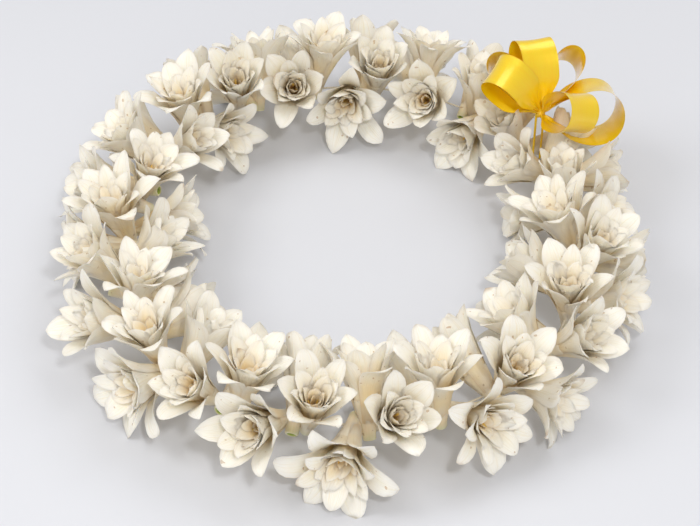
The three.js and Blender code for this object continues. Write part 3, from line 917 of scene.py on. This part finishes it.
class Wire:
    """A node's output, on which + - * add Math nodes."""

    def __init__(self, tree, socket):
        self.tree = tree
        self.socket = socket

    def math(self, operation, other=0, swapped=False):
        """A Math node on this value and another."""
        pair = (other, self) if swapped else (self, other)
        return self.tree.node("ShaderNodeMath", {"operation": operation}, {0: pair[0], 1: pair[1]})

    def __add__(self, other):
        return self.math("ADD", other)

    __radd__ = __add__

    def __sub__(self, other):
        return self.math("SUBTRACT", other)

    def __rsub__(self, other):
        return self.math("SUBTRACT", other, swapped=True)

    def __mul__(self, other):
        return self.math("MULTIPLY", other)

    __rmul__ = __mul__

    def ramp(self, low, high):
        """0 below low, 1 above high, smooth between."""
        return self.tree.node(
            "ShaderNodeMapRange",
            {"interpolation_type": "SMOOTHSTEP"},
            {"Value": self, "From Min": low, "From Max": high},
        )


class Finish:
    """A material's node tree, with one way to add any node."""

    def __init__(self, name):
        self.material = bpy.data.materials.new(name)
        self.material.use_nodes = True
        self.nodes = self.material.node_tree.nodes
        self.links = self.material.node_tree.links
        self.shader = self.nodes["Principled BSDF"]

    def node(self, kind, settings=None, values=None, output=0):
        """Adds a node: its settings first, then the values or links of its sockets."""
        made = self.nodes.new(kind)
        for key, value in (settings or {}).items():
            setattr(made, key, value)
        for key, value in (values or {}).items():
            self.feed(made.inputs[key], value)
        return Wire(self, made.outputs[output])

    def feed(self, socket, value):
        """Links a wire to a socket, or sets the socket's own value."""
        if isinstance(value, Wire):
            self.links.new(value.socket, socket)
        else:
            socket.default_value = value

    def set(self, **values):
        """Sets the shader's sockets, named with underscores for spaces."""
        for key, value in values.items():
            self.feed(self.shader.inputs[key.replace("_", " ")], value)

    def mix_colours(self, share, first, second):
        """A colour between two, by a share."""
        values = {0: share, 6: first, 7: second}
        return self.node("ShaderNodeMix", {"data_type": "RGBA"}, values, output=2)

    def parts(self, vector):
        """The three parts of a vector or colour."""
        split = self.node("ShaderNodeSeparateXYZ", values={0: vector}).socket.node
        return [Wire(self, output) for output in split.outputs]

    def uv(self):
        """The piece's own UV pair, as its two parts."""
        return self.parts(self.node("ShaderNodeUVMap", {"uv_map": "UVMap"}))[:2]

    def noise(self, scale, detail=2.0, roughness=0.5, where=None):
        """Noise at a scale, in the piece's own coordinates unless told where."""
        values = {"Scale": scale, "Detail": detail, "Roughness": roughness}
        values["Vector"] = where or self.node("ShaderNodeTexCoord", output=3)
        return self.node("ShaderNodeTexNoise", values=values)

    def streaks(self, x, y, z=0.0, detail=2.0, roughness=0.5):
        """Noise over measures of its own, drawn out into veins or threads by their scales."""
        where = self.node("ShaderNodeCombineXYZ", values={"X": x, "Y": y, "Z": z})
        return self.noise(1.0, detail, roughness, where)

    def bump(self, strength, distance, height):
        """A bumpy normal from a height, with its distance in metres."""
        values = {"Strength": strength, "Distance": distance, "Height": height}
        return self.node("ShaderNodeBump", values=values)


def from_middle(across):
    """How far the way across is from the middle: 0 there and 1 at either edge."""
    return (across * 2 - 1).math("ABSOLUTE")


def colour(red, green, blue):
    """An sRGB colour from 0 to 255, as the linear colour that a shader takes."""
    share = np.array([red, green, blue]) / 255
    linear = np.where(share <= 0.04045, share / 12.92, ((share + 0.055) / 1.055) ** 2.4)
    return (*linear.tolist(), 1.0)


# Colours of petals, ribbon, string and table.
TIP_WHITE = colour(252, 248, 237)
# Real cream of the roots, also used as painted warm shade deep in the head.
CREAM_AND_PAINTED_SHADE = colour(248, 208, 128)
# Amber: the real yellow of stamens and style, and painted glow deep in the head.
AMBER_AND_PAINTED_GLOW = colour(243, 200, 98)
VEIN_CREAM = colour(233, 214, 174)
CUT_GREEN = colour(150, 182, 48)
# Painted glow: the lighter colour of thin rims that light shines through.
PAINTED_RIM_GLOW = colour(249, 246, 238)
# Painted shade: the warm tan of creases between overlapping petals.
PAINTED_CREASE_TAN = colour(218, 180, 122)
BRUISE_BROWN = colour(178, 132, 72)
SPECK_BROWN = colour(176, 132, 74)
SATIN_YELLOW = colour(255, 214, 0)
SATIN_GOLD = colour(255, 194, 0)
SATIN_LEMON = colour(255, 222, 30)
SELVEDGE_GOLD = colour(250, 186, 0)
COTTON_WHITE = colour(232, 226, 210)
COTTON_SHADE = colour(206, 198, 178)
TABLE_GREY = colour(215, 218, 226)
TABLE_PALE = colour(220, 223, 231)


def petal_finish():
    """Waxy ivory petals: white at the tips, cream at the roots, painted warm shade and painted amber glow
    deep in the head over the stamens' real amber, green at the cut ends, with fine veins, painted pale
    glow along the thin rims, painted tan crease shade along a few edges, and specks."""
    finish = Finish("waxy_petal")
    tone = finish.node("ShaderNodeAttribute", {"attribute_name": "tone"}, output=0)
    # The cream channel holds the real cream of roots, tube and stamens, plus painted warm shade on the
    # inner whorls and painted glow at the throat floor.
    cream_shade_and_glow, green, spot = finish.parts(tone)
    across, along = finish.uv()
    patches = finish.noise(70.0)
    veins = finish.streaks(across * 24, along * 1.8, spot * 40)
    off_middle = from_middle(across)

    warm = (cream_shade_and_glow + (patches - 0.5) * 0.5 + spot * 0.12).ramp(0.12, 1.0)
    # Painted shade: tan lines along patchy stretches of the petal edges, where creases lie in warm shade.
    painted_crease_shade = off_middle.ramp(0.95, 1.0) * patches.ramp(0.4, 0.65)
    bruised_tip = (along + (patches - 0.5) * 0.6).ramp(0.94, 1.08) * spot.ramp(0.84, 0.97)
    specks = finish.noise(380.0, 0.0).ramp(0.8, 0.83)
    # Towards cream by the warm share: real cream at the roots, painted warm shade where the inner whorls
    # lie deep in the head.
    shade = finish.mix_colours(warm, TIP_WHITE, CREAM_AND_PAINTED_SHADE)
    for share, tint in (
        # Amber where the cream is highest: real on the stamens, painted glow at the throat floor and
        # inner petal roots.
        (cream_shade_and_glow.ramp(0.82, 1.5) * 0.9, AMBER_AND_PAINTED_GLOW),
        ((veins - 0.48).ramp(0.0, 0.25) * 0.3, VEIN_CREAM),
        (green.ramp(0.1, 1.0) * 0.9, CUT_GREEN),
        # Painted glow: rims lightened towards the tips, as if light shone through them.
        (off_middle.ramp(0.6, 1.0) * along * 0.6, PAINTED_RIM_GLOW),
        # Painted crease shade along the edges.
        (painted_crease_shade * 0.5, PAINTED_CREASE_TAN),
        (bruised_tip * 0.7, BRUISE_BROWN),
        (specks * 0.5, SPECK_BROWN),
    ):
        shade = finish.mix_colours(share, shade, tint)

    finish.set(
        Base_Color=shade,
        Roughness=0.4 + (veins - 0.5) * 0.16,
        Normal=finish.bump(0.4, 0.0007, veins * 0.7 + patches * 0.8),
        Subsurface_Weight=0.4,
        Subsurface_Radius=(1.0, 0.87, 0.7),
        Subsurface_Scale=0.0015,
        Specular_IOR_Level=0.4,
    )
    return finish.material


def ribbon_finish():
    """Bright yellow satin: fine lengthwise threads that streak the colour, the gloss and the bump."""
    finish = Finish("yellow_satin")
    across, along = finish.uv()
    threads = finish.streaks(across * 80, along * 1.2, detail=3.0, roughness=0.6)
    broad = finish.streaks(across * 7, along * 0.5, 3.0)
    selvedge = 1 - (1 - from_middle(across)).ramp(0.0, 0.06)
    shade = finish.mix_colours(threads.ramp(0.3, 0.75) * 0.4, SATIN_YELLOW, SATIN_GOLD)
    shade = finish.mix_colours(broad.ramp(0.45, 0.75) * 0.35, shade, SATIN_LEMON)
    shade = finish.mix_colours(selvedge * 0.45, shade, SELVEDGE_GOLD)
    finish.set(
        Base_Color=shade,
        Roughness=0.26 + threads * 0.12,
        Normal=finish.bump(0.4, 0.0003, threads + selvedge * 0.8),
        Metallic=0.28,
        Specular_IOR_Level=0.5,
        Coat_Weight=0.9,
        Coat_Roughness=0.12,
        Coat_IOR=1.5,
        Subsurface_Weight=0.35,
        Subsurface_Radius=(1.0, 0.7, 0.1),
        Subsurface_Scale=0.0015,
    )
    return finish.material


# The stripes of the string's plies, and a whole turn of their sine.
STRING_PLIES = 240
FULL_TURN = 6.2832


def string_finish():
    """Off-white cotton, its plies marked by stripes that run round as they run along."""
    finish = Finish("cotton_string")
    around, along = finish.uv()
    fibres = finish.noise(2600.0, 3.0)
    plies = ((around + along * STRING_PLIES) * FULL_TURN).math("SINE")
    finish.set(
        Base_Color=finish.mix_colours(fibres.ramp(0.3, 0.7), COTTON_WHITE, COTTON_SHADE),
        Roughness=0.9,
        Normal=finish.bump(0.5, 0.0002, plies * 0.5 + fibres),
        Sheen_Weight=0.2,
    )
    return finish.material


def floor_finish():
    """A matt pale lavender-grey tabletop, with the faintest mottling."""
    finish = Finish("pale_tabletop")
    shade = finish.mix_colours(finish.noise(2.2), TABLE_GREY, TABLE_PALE)
    finish.set(Base_Color=shade, Roughness=0.75, Specular_IOR_Level=0.2)
    return finish.material


# The lei, round by round, then the bow and the string.
blooms = place_blooms()
bow_root, bow_along, bow_outward = (rows[0] for rows in station_at([BOW_STATION_SHARE * LOOP_LENGTH]))
waist = np.array([bow_root[0], bow_root[1], BOW_HEIGHT])
blooms["leans"] = petal_leans(blooms, bow_obstacles(waist, bow_root))

waxy_petal = petal_finish()
for number in range(BLOOM_COUNT // ROUND_SIZE):
    surface = Surface()
    for index in np.flatnonzero(blooms["round"] == number):
        bloom = one_bloom(blooms, index)
        add_tube(surface, bloom)
        add_petals(surface, bloom, waist)
        add_stamens(surface, bloom)
    node = f"bloom_round_{number + 1:02d}"
    surface.piece(f"tuberose_{number + 1:02d}", waxy_petal, node)

bow = Surface()
for loop in BOW_LOOPS:
    add_ribbon_loop(bow, loop, waist)
add_waist(bow, waist)
add_swept(bow, cord_path(bow_root, waist, bow_outward), CORD_RADIUS, (1, 0, 0))
bow.piece("satin_bow", ribbon_finish(), "ribbon_bow")

string = Surface()
string_lengths = np.arange(STRING_ROWS) / STRING_ROWS * LOOP_LENGTH
add_swept(string, station_at(string_lengths)[0], STRING_RADIUS, (0, 0, 0))
add_swept(string, knot_path(bow_root, bow_along, bow_outward), KNOT_CORD_RADIUS, (0, 0, 0))
string.piece("cotton_string", string_finish(), "string")

# The table, the light and the camera, in metres.
TABLE_REACH = 6.0
LIGHT_AIM = Vector((0, 0, 0.03))
DAYLIGHT_TINT = (1.0, 0.965, 0.915, 1.0)
DAYLIGHT_STRENGTH = 0.61
CAMERA_ELEVATION = math.radians(42)
CAMERA_DISTANCE = 0.95
CAMERA_LENS = 88
CAMERA_AIM = Vector((0.0, -0.012, 0.012))

# Each light's name, place, width, watts and tint.
LIGHTS = [
    ("window", (-0.8, -0.1, 1.0), 0.6, 4.2, (1.0, 0.985, 0.96)),
    ("overhead", (0.45, 0.5, 1.2), 0.8, 4.0, (1.0, 1.0, 1.0)),
    ("front_strip", (0.2, -0.85, 1.1), 0.13, 4.2, (1.0, 0.99, 0.97)),
    ("front_fill", (-0.1, -1.2, 0.5), 0.8, 1.8, (1.0, 0.98, 0.95)),
]


def make_floor():
    """A wide level tabletop under the lei."""
    mesh = bpy.data.meshes.new("tabletop")
    corners = [(x * TABLE_REACH, y * TABLE_REACH, 0) for x, y in ((-1, -1), (1, -1), (1, 1), (-1, 1))]
    mesh.from_pydata(corners, [], [(0, 1, 2, 3)])
    mesh.materials.append(floor_finish())
    floor = bpy.data.objects.new("tabletop", mesh)
    bpy.context.scene.collection.objects.link(floor)


def make_light(name, place, width, watts, tint):
    """A square soft light that faces the middle of the lei."""
    light = bpy.data.lights.new(name, "AREA")
    light.shape = "SQUARE"
    light.size = width
    light.energy = watts
    light.color = tint
    lamp = bpy.data.objects.new(name, light)
    lamp.location = place
    lamp.rotation_euler = (LIGHT_AIM - Vector(place)).to_track_quat("-Z", "Y").to_euler()
    bpy.context.scene.collection.objects.link(lamp)


def make_world():
    """Even studio daylight from all round."""
    world = bpy.data.worlds.new("studio")
    world.use_nodes = True
    background = world.node_tree.nodes["Background"]
    background.inputs["Color"].default_value = DAYLIGHT_TINT
    background.inputs["Strength"].default_value = DAYLIGHT_STRENGTH
    bpy.context.scene.world = world


def make_camera():
    """The photograph's angle: down at the lei from the front."""
    camera = bpy.data.cameras.new("camera")
    camera.lens = CAMERA_LENS
    eye = bpy.data.objects.new("camera", camera)
    back = Vector((0, -math.cos(CAMERA_ELEVATION), math.sin(CAMERA_ELEVATION)))
    eye.location = CAMERA_AIM + back * CAMERA_DISTANCE
    eye.rotation_euler = (-back).to_track_quat("-Z", "Y").to_euler()
    bpy.context.scene.collection.objects.link(eye)
    bpy.context.scene.camera = eye


make_floor()
for light in LIGHTS:
    make_light(*light)
make_world()
make_camera()
bpy.context.scene.view_settings.view_transform = "Standard"
